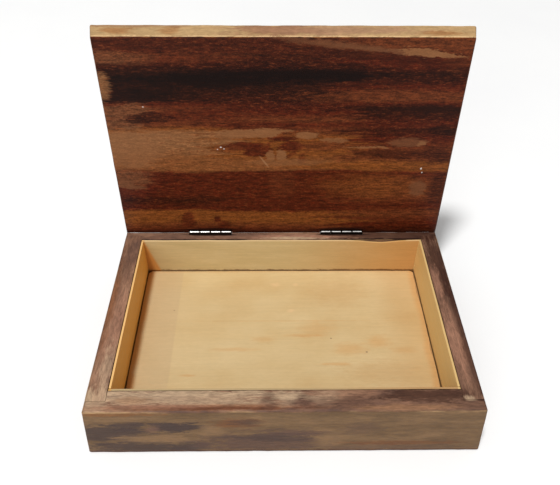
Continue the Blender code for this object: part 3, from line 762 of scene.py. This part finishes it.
def floor_wood():
    """The floor panel: pale and satin, with orange painted shade by its short edges, fainter painted shade by
    its long ones, and painted dark shade in the gap round it.
    """
    material, s, main = new_material("floor_wood", specular=0.4)
    x, y, z = s.place()
    lines, flecks = grain(s, x, y, z)[:2]
    cloud = s.noise(s.times(x, 0.02), s.times(y, 0.032), 6.0, 4.0, 0.55)
    tint = s.ramp(cloud, FLOOR_TONES)
    fray = s.times(s.minus(s.noise(s.times(x, 0.12), s.times(y, 0.35), 3.0, 5.0, 0.75), 0.5), 3.0)
    tint = painted(s, tint, x, y, fray, FLOOR_PATCHES)
    tint = s.mix(s.step(x, -71.0, -72.5, 0.0, 0.5), tint, FLOOR_LEFT)
    # Painted warm shade along the edges, by the walls: orange by the short edges, most at the left, and amber
    # by the long ones.
    from_side = s.minus(FLOOR_HALF, s.size(s.add(x, s.times(s.minus(cloud, 0.5), 6.0))))
    from_end = s.math("MINIMUM", s.minus(FLOOR_BACK, y), s.minus(y, FLOOR_FRONT))
    more_at_left = s.step(x, 20.0, -20.0, 0.6, 1.0)
    tint = s.mix(s.times(s.step(from_side, 6.0, 1.5, 0.0, 0.85), more_at_left), tint, SIDE_SHADE_ORANGE)
    tint = s.mix(s.step(x, 60.0, 84.0, 0.0, 0.4), tint, STRAW)
    tint = s.mix(s.step(from_end, 3.0, 0.0, 0.0, 0.25), tint, AMBER)
    # Painted dark shade at the panel's rim, in the gap round it.
    edge = s.step(s.math("MINIMUM", from_side, from_end), 0.5, 0.1)
    tint = s.mix(s.times(edge, 0.35), tint, BURNT)
    tint = s.shade(tint, s.add(s.times(lines, 0.05), s.times(flecks, 0.04), 0.95))
    # Painted dark shade on the panel's edge faces, down in the gap.
    tint = s.mix(s.times(s.step(z, FLOOR_TOP - 0.2, FLOOR_TOP - 0.6), 0.8), tint, BURNT)
    roughness = s.add(0.3, s.times(flecks, 0.15), s.times(cloud, 0.15))
    surface(s, main, tint, roughness, s.add(s.times(lines, 0.3), s.times(cloud, 0.8)), 0.05)
    return material


def bottom_wood():
    """The unfinished bottom panel."""
    material, s, main = new_material("bottom_wood")
    x, y, z = s.place()
    lines, flecks, pores = grain(s, x, y, z)
    cloud = s.noise(s.times(x, 0.012), s.times(y, 0.05), 9.0, 5.0, 0.6)
    tint = s.ramp(cloud, ((0.3, HONEY), (0.48, FAWN), (0.58, TAN), (0.75, SAND)))
    tint = s.shade(tint, s.add(s.times(lines, 0.25), s.times(flecks, 0.2), 0.76))
    tint = s.mix(s.times(pores, 0.5), tint, CHESTNUT)
    roughness = s.add(0.6, s.times(flecks, 0.25))
    surface(s, main, tint, roughness, s.add(s.times(lines, 0.6), s.times(pores, -0.5)), 0.1)
    return material


# ---------------------------------------------------------------- metal


CROWN_TILT = math.radians(27.0)  # the painted shade on the barrel is least this far forwards of its top, leaving a bright band there


def worn_metal(name, bright, dull, roughness):
    """Plated steel: brushed, with dull spots, brown in the dullest, and painted shade on the hinge barrels.
    """
    material, s, main = new_material(name, metallic=1.0, specular=0.5)
    x, y, z = s.place()
    spots = s.noise(s.times(x, 0.35), s.times(y, 0.35), s.times(z, 0.35), 4.0, 0.6)
    brushed = s.noise(s.times(x, 0.3), s.times(y, 6.0), s.times(z, 6.0), 3.0, 0.6)
    tint = s.mix(s.times(s.step(spots, 0.46, 0.66), 0.6), bright, dull)
    tint = s.mix(s.times(s.step(spots, 0.6, 0.72), 0.5), tint, CHESTNUT)
    # Painted shade on the hinge barrels, beside their bright crown and in the gaps between their knuckles.
    if name == "hinge_steel":
        tint = s.mix(barrel_painted_shade(s, x, y, z), tint, BARREL_SHADE_DARK)
    relief = s.add(s.times(brushed, 0.4), s.times(spots, 0.3))
    surface(s, main, tint, s.add(roughness, s.times(spots, 0.3)), relief, 0.02)
    return material


def barrel_painted_shade(s, x, y, z):
    """How much painted shade a hinge barrel gets: most beside its crown, which it leaves bright, and at the
    ends of its knuckles, in the gaps between them.
    """
    back, up = s.minus(y, AXIS_Y), s.minus(z, AXIS_Z)
    on_barrel = s.step(s.distance(back, up), BARREL_RADIUS + 0.25, BARREL_RADIUS + 0.1)
    raised = s.times(up, math.cos(CROWN_TILT) / BARREL_RADIUS)
    crown = s.minus(raised, s.times(back, math.sin(CROWN_TILT) / BARREL_RADIUS))
    sunk = s.times(s.step(crown, 0.985, 0.95, 0.42, 1.0), s.step(crown, -0.5, -0.2))
    ends = 0.0
    for hinge_x in HINGE_PLACES:
        share = s.math("FRACT", s.times(s.minus(x, hinge_x), 1 / KNUCKLE))
        from_end = s.times(s.minus(0.5, s.size(s.minus(share, 0.5))), KNUCKLE)
        here = s.step(s.size(s.minus(x, hinge_x)), 17.0, 16.0)
        ends = s.add(ends, s.times(s.step(from_end, 0.75, 0.5), here))
    return s.times(on_barrel, s.math("MAXIMUM", sunk, ends))


# ---------------------------------------------------------------- mesh work


def copied(node):
    """A bmesh of a CAD node with its flat faces whole."""
    bm = bmesh.new()
    bm.from_mesh(frame["nodes"][node].data)
    bmesh.ops.remove_doubles(bm, verts=bm.verts, dist=MERGE * MM)
    bmesh.ops.dissolve_limit(bm, angle_limit=COPLANAR_ANGLE, verts=bm.verts, edges=bm.edges)
    return bm


def grid_cuts(bm, low, high, spacing):
    """Cuts a mesh into a grid along each axis that has a spacing, in millimetres."""
    for axis, gap in enumerate(spacing):
        if not gap:
            continue
        count = max(1, round((high[axis] - low[axis]) / (gap * MM)))
        normal = Vector([float(i == axis) for i in range(3)])
        for i in range(1, count):
            place = normal * (low[axis] + (high[axis] - low[axis]) * i / count)
            geometry = bm.verts[:] + bm.edges[:] + bm.faces[:]
            bmesh.ops.bisect_plane(bm, geom=geometry, dist=MERGE * MM / 10, plane_co=place, plane_no=normal)


def soften(bm, picks, width):
    """Rounds the sharp edges whose middle, in millimetres, picks accepts."""
    edges = []
    for edge in bm.edges:
        if edge.is_manifold and edge.calc_face_angle(0.0) > SHARP_ANGLE:
            if picks((edge.verts[0].co + edge.verts[1].co) / (2 * MM)):
                edges.append(edge)
    bmesh.ops.bevel(
        bm, geom=edges, offset=width * MM, segments=2, profile=0.5, affect="EDGES", clamp_overlap=True
    )


def wear(bm, flat, round_off, seed):
    """Moves points inward by up to one depth on flat faces and another where the surface turns."""
    bm.normal_update()
    moves = []
    for vert in bm.verts:
        turns = [edge.calc_face_angle(0.0) for edge in vert.link_edges if edge.is_manifold]
        depth = flat if max(turns, default=0.0) < FLAT_ANGLE else round_off
        rough = noise.noise(vert.co / MM * ROUGH_SCALE + Vector((seed, 0.0, 0.0)))
        fine = noise.noise(vert.co / MM * FINE_SCALE + Vector((0.0, seed, 0.0)))
        share = min(1.0, max(0.0, WORN_MEAN + rough * ROUGH_SHARE + fine * FINE_SHARE))
        moves.append((vert, vert.normal * (-depth * share * MM)))
    for vert, move in moves:
        vert.co += move


def finished(name, bm, material, body):
    """Makes the piece, rides it on its body and shows it instead of its CAD node."""
    bmesh.ops.recalc_face_normals(bm, faces=bm.faces)
    mesh = bpy.data.meshes.new(name)
    bm.to_mesh(mesh)
    bm.free()
    mesh.materials.append(material)
    mesh.shade_smooth()
    mesh.set_sharp_from_angle(angle=SHARP_ANGLE)
    obj = bpy.data.objects.new(name, mesh)
    bpy.context.scene.collection.objects.link(obj)
    weighted = obj.modifiers.new("face weights", "WEIGHTED_NORMAL")
    weighted.keep_sharp = True
    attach(obj, body)
    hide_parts(name.removesuffix("_shown"))
    return obj


def closer(bm, axis, place, shift):
    """Moves the points at one place along an axis, in millimetres, to close a glued seam."""
    for vert in bm.verts:
        if abs(vert.co[axis] / MM - place) < SAME_PLACE:
            vert.co[axis] += shift * MM


# Out of the back rail's stop chamfer, which the lid's chamfer faces.
STOP_NORMAL = Vector((0.0, math.sin(OPEN_ANGLE / 2), math.cos(OPEN_ANGLE / 2)))


def close_stop(bm, normal):
    """Moves the stop chamfer, which faces along normal, out until almost no gap is left at it."""
    bm.normal_update()
    faces = [face for face in bm.faces if face.normal.dot(normal) > 0.999]
    for vert in {vert for face in faces for vert in face.verts}:
        vert.co += normal * STOP_FILL * MM


def rails(material):
    """The four rails, with hairline seams, softened inner edges and worn arrises."""
    for number, side in enumerate(("front", "back", "left", "right")):
        bm = copied(f"{side}_rail")
        low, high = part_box(f"{side}_rail")
        if side in ("front", "back"):
            for sign in (-1, 1):
                closer(bm, 0, sign * LINER_OUT, sign * SEAM)
            if side == "back":
                close_stop(bm, STOP_NORMAL)
            spacing = (4.0, 3.5, 4.0)
        else:
            closer(bm, 1, LAP_FRONT, -SEAM)
            closer(bm, 1, LAP_BACK, SEAM)
            spacing = (3.5, 4.0, 4.0)
        soften(bm, lambda middle: middle.z > RIM - 0.2, 0.12)
        grid_cuts(bm, low, high, spacing)
        wear(bm, 0.05, 0.22, 3.7 * number)
        finished(f"{side}_rail_shown", bm, material, "box")


def lid(material):
    bm = copied("lid_panel")
    low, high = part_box("lid_panel")
    close_stop(bm, -STOP_NORMAL)
    grid_cuts(bm, low, high, (4.0, 0.0, 4.0))
    wear(bm, 0.06, 0.3, 21.0)
    finished("lid_panel_shown", bm, material, "lid")


def liner_dip(x, y):
    """How far the top edge of a liner lies below the rim, in millimetres."""
    dip = 0.18 + 0.22 * noise.noise(Vector((x * 0.045, y * 0.045, 1.0)))
    dip += 0.1 * noise.noise(Vector((x * 0.2, y * 0.2, 5.0)))
    if y > FLOOR_BACK:
        dip += DIP_DEPTH * math.exp(-(((x - DIP_PLACE) / DIP_REACH) ** 2))
    return max(0.0, dip)


OUTWARD = {"front": (0, -1, 0), "back": (0, 1, 0), "left": (-1, 0, 0), "right": (1, 0, 0)}


def liners(material):
    """The four thin strips inside, thinner at the top, with slightly uneven top edges."""
    for side in ("front", "back", "left", "right"):
        bm = copied(f"liner_{side}")
        low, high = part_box(f"liner_{side}")
        outward = Vector(OUTWARD[side])
        outer_face = high if sum(outward) > 0 else low
        soften(bm, lambda middle: middle.z > RIM - 0.1, 0.15)
        spacing = (2.5, 0.0, 4.0) if side in ("front", "back") else (0.0, 2.5, 4.0)
        grid_cuts(bm, low, high, spacing)
        for vert in bm.verts:
            rise = (vert.co.z / MM - FLOOR_TOP) / (RIM - FLOOR_TOP)
            if rise > 0.5:
                vert.co.z -= liner_dip(vert.co.x / MM, vert.co.y / MM) * (rise - 0.5) * 2 * MM
            thinned = max(0.0, 1.0 - (RIM - vert.co.z / MM) / LINER_TAPER_HEIGHT)
            if (vert.co - outer_face).dot(outward) > -0.01 * MM:
                vert.co -= outward * (thinned * LINER_TAPER * MM)
        finished(f"liner_{side}_shown", bm, material, "box")


def floor_panel(material):
    """The floor, with edges that wander so that the gap round it varies."""
    bm = copied("floor_liner")
    low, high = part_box("floor_liner")
    soften(bm, lambda middle: middle.z > FLOOR_TOP - 0.1, 0.3)
    grid_cuts(bm, low, high, (4.0, 4.0, 0.0))
    for vert in bm.verts:
        x, y = vert.co.x / MM, vert.co.y / MM
        from_side, from_end = FLOOR_HALF - abs(x), min(FLOOR_BACK - y, y - FLOOR_FRONT)
        near_side = max(0.0, 1.0 - from_side / FLOOR_WANDER)
        near_end = max(0.0, 1.0 - from_end / FLOOR_WANDER)
        pull = 0.4 * noise.noise(Vector((x * 0.04, y * 0.04, 2.0)))
        pull += 0.25 * noise.noise(Vector((x * 0.3, y * 0.3, 8.0)))
        pull = max(0.0, pull) * MM
        vert.co.x -= math.copysign(pull * near_side, x)
        vert.co.y -= math.copysign(pull * near_end, y)
        vert.co.z -= 0.12 * MM * max(0.0, noise.noise(Vector((x * 0.02, y * 0.02, 3.0))))
    finished("floor_liner_shown", bm, material, "box")


def bottom_panel(material):
    bm = copied("bottom_panel")
    low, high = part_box("bottom_panel")
    grid_cuts(bm, low, high, (6.0, 6.0, 0.0))
    wear(bm, 0.08, 0.0, 40.0)
    finished("bottom_panel_shown", bm, material, "box")


def hardware(materials):
    """Hinge leaves, pins, screws and brads, with their sharp edges broken."""
    for name in sorted(frame["nodes"]):
        if not name.startswith(("hinge_", "bottom_brad_")):
            continue
        body = "lid" if "_lid_" in name else "box"
        kind = "brad_steel" if "brad" in name else "screw_steel" if "screw" in name else "hinge_steel"
        bm = copied(name)
        made = finished(f"{name}_shown", bm, materials[kind], body)
        bevel = made.modifiers.new("broken edges", "BEVEL")
        bevel.width = METAL_EDGE * MM
        bevel.segments = 2
        bevel.limit_method = "ANGLE"
        bevel.angle_limit = SHARP_ANGLE
        made.modifiers.move(1, 0)  # so that the face weights are worked out last


# ---------------------------------------------------------------- stage


def stage_floor():
    """A pale floor under the box, with a very faint mottle. It can't be seen from below."""
    bm = bmesh.new()
    bmesh.ops.create_grid(bm, x_segments=8, y_segments=8, size=GROUND_SIZE)
    mesh = bpy.data.meshes.new("ground")
    bm.to_mesh(mesh)
    bm.free()
    ground = bpy.data.objects.new("ground", mesh)
    ground.location.z = -GROUND_DROP * MM
    bpy.context.scene.collection.objects.link(ground)
    material, s, main = new_material("ground")
    x, y = s.place()[:2]
    mottle = s.noise(s.times(x, 0.01), s.times(y, 0.01), 0.0)
    s.put(main.inputs["Base Color"], s.mix(mottle, GROUND_GREY, GROUND_PALE))
    main.inputs["Roughness"].default_value = 0.9
    below = s.node("ShaderNodeNewGeometry").outputs["Backfacing"]
    clear = s.node("ShaderNodeBsdfTransparent").outputs[0]
    mixed = s.node("ShaderNodeMixShader", {0: below, 1: main.outputs[0], 2: clear}).outputs[0]
    s.put(material.node_tree.nodes["Material Output"].inputs["Surface"], mixed)
    mesh.materials.append(material)


def area_light(name, place, size, power):
    """A round lamp that faces the box."""
    light = bpy.data.lights.new(name, "AREA")
    light.shape = "DISK"
    light.size = size
    light.energy = power
    obj = bpy.data.objects.new(name, light)
    obj.location = place
    obj.rotation_euler = (Vector(LIT_PLACE) - Vector(place)).to_track_quat("-Z", "Y").to_euler()
    bpy.context.scene.collection.objects.link(obj)


def lights():
    world = bpy.data.worlds.new("studio")
    bpy.context.scene.world = world
    world.use_nodes = True
    s = Shader(world.node_tree)
    seen = s.node("ShaderNodeLightPath").outputs["Is Camera Ray"]
    background = world.node_tree.nodes["Background"]
    s.put(background.inputs["Color"], (1.0, 1.0, 1.0, 1.0))
    s.put(background.inputs["Strength"], s.add(WORLD_LIGHT, s.times(seen, WORLD_SEEN)))
    for name, (place, size, power) in LIGHTS.items():
        area_light(name, place, size, power)


def camera():
    made = bpy.data.cameras.new("camera")
    made.lens = CAMERA_LENS
    made.sensor_width = SENSOR_WIDTH
    obj = bpy.data.objects.new("camera", made)
    turn = Matrix.Rotation(CAMERA_TURN, 4, "Z") @ Matrix.Rotation(CAMERA_TILT, 4, "X")
    turn = turn @ Matrix.Rotation(CAMERA_ROLL, 4, "Z")
    obj.matrix_world = Matrix.Translation(Vector(CAMERA_PLACE) * MM) @ turn
    bpy.context.scene.collection.objects.link(obj)
    bpy.context.scene.camera = obj


def build():
    rails(rail_wood())
    lid(lid_wood())
    liners(liner_wood())
    floor_panel(floor_wood())
    bottom_panel(bottom_wood())
    hardware(
        {
            "hinge_steel": worn_metal("hinge_steel", SILVER, DULL_STEEL, 0.2),
            "screw_steel": worn_metal("screw_steel", SILVER, DULL_STEEL, 0.25),
            "brad_steel": worn_metal("brad_steel", DULL_STEEL, NAIL_DARK, 0.35),
        }
    )
    stage_floor()
    lights()
    camera()
    bpy.context.scene.view_settings.view_transform = "Standard"


build()
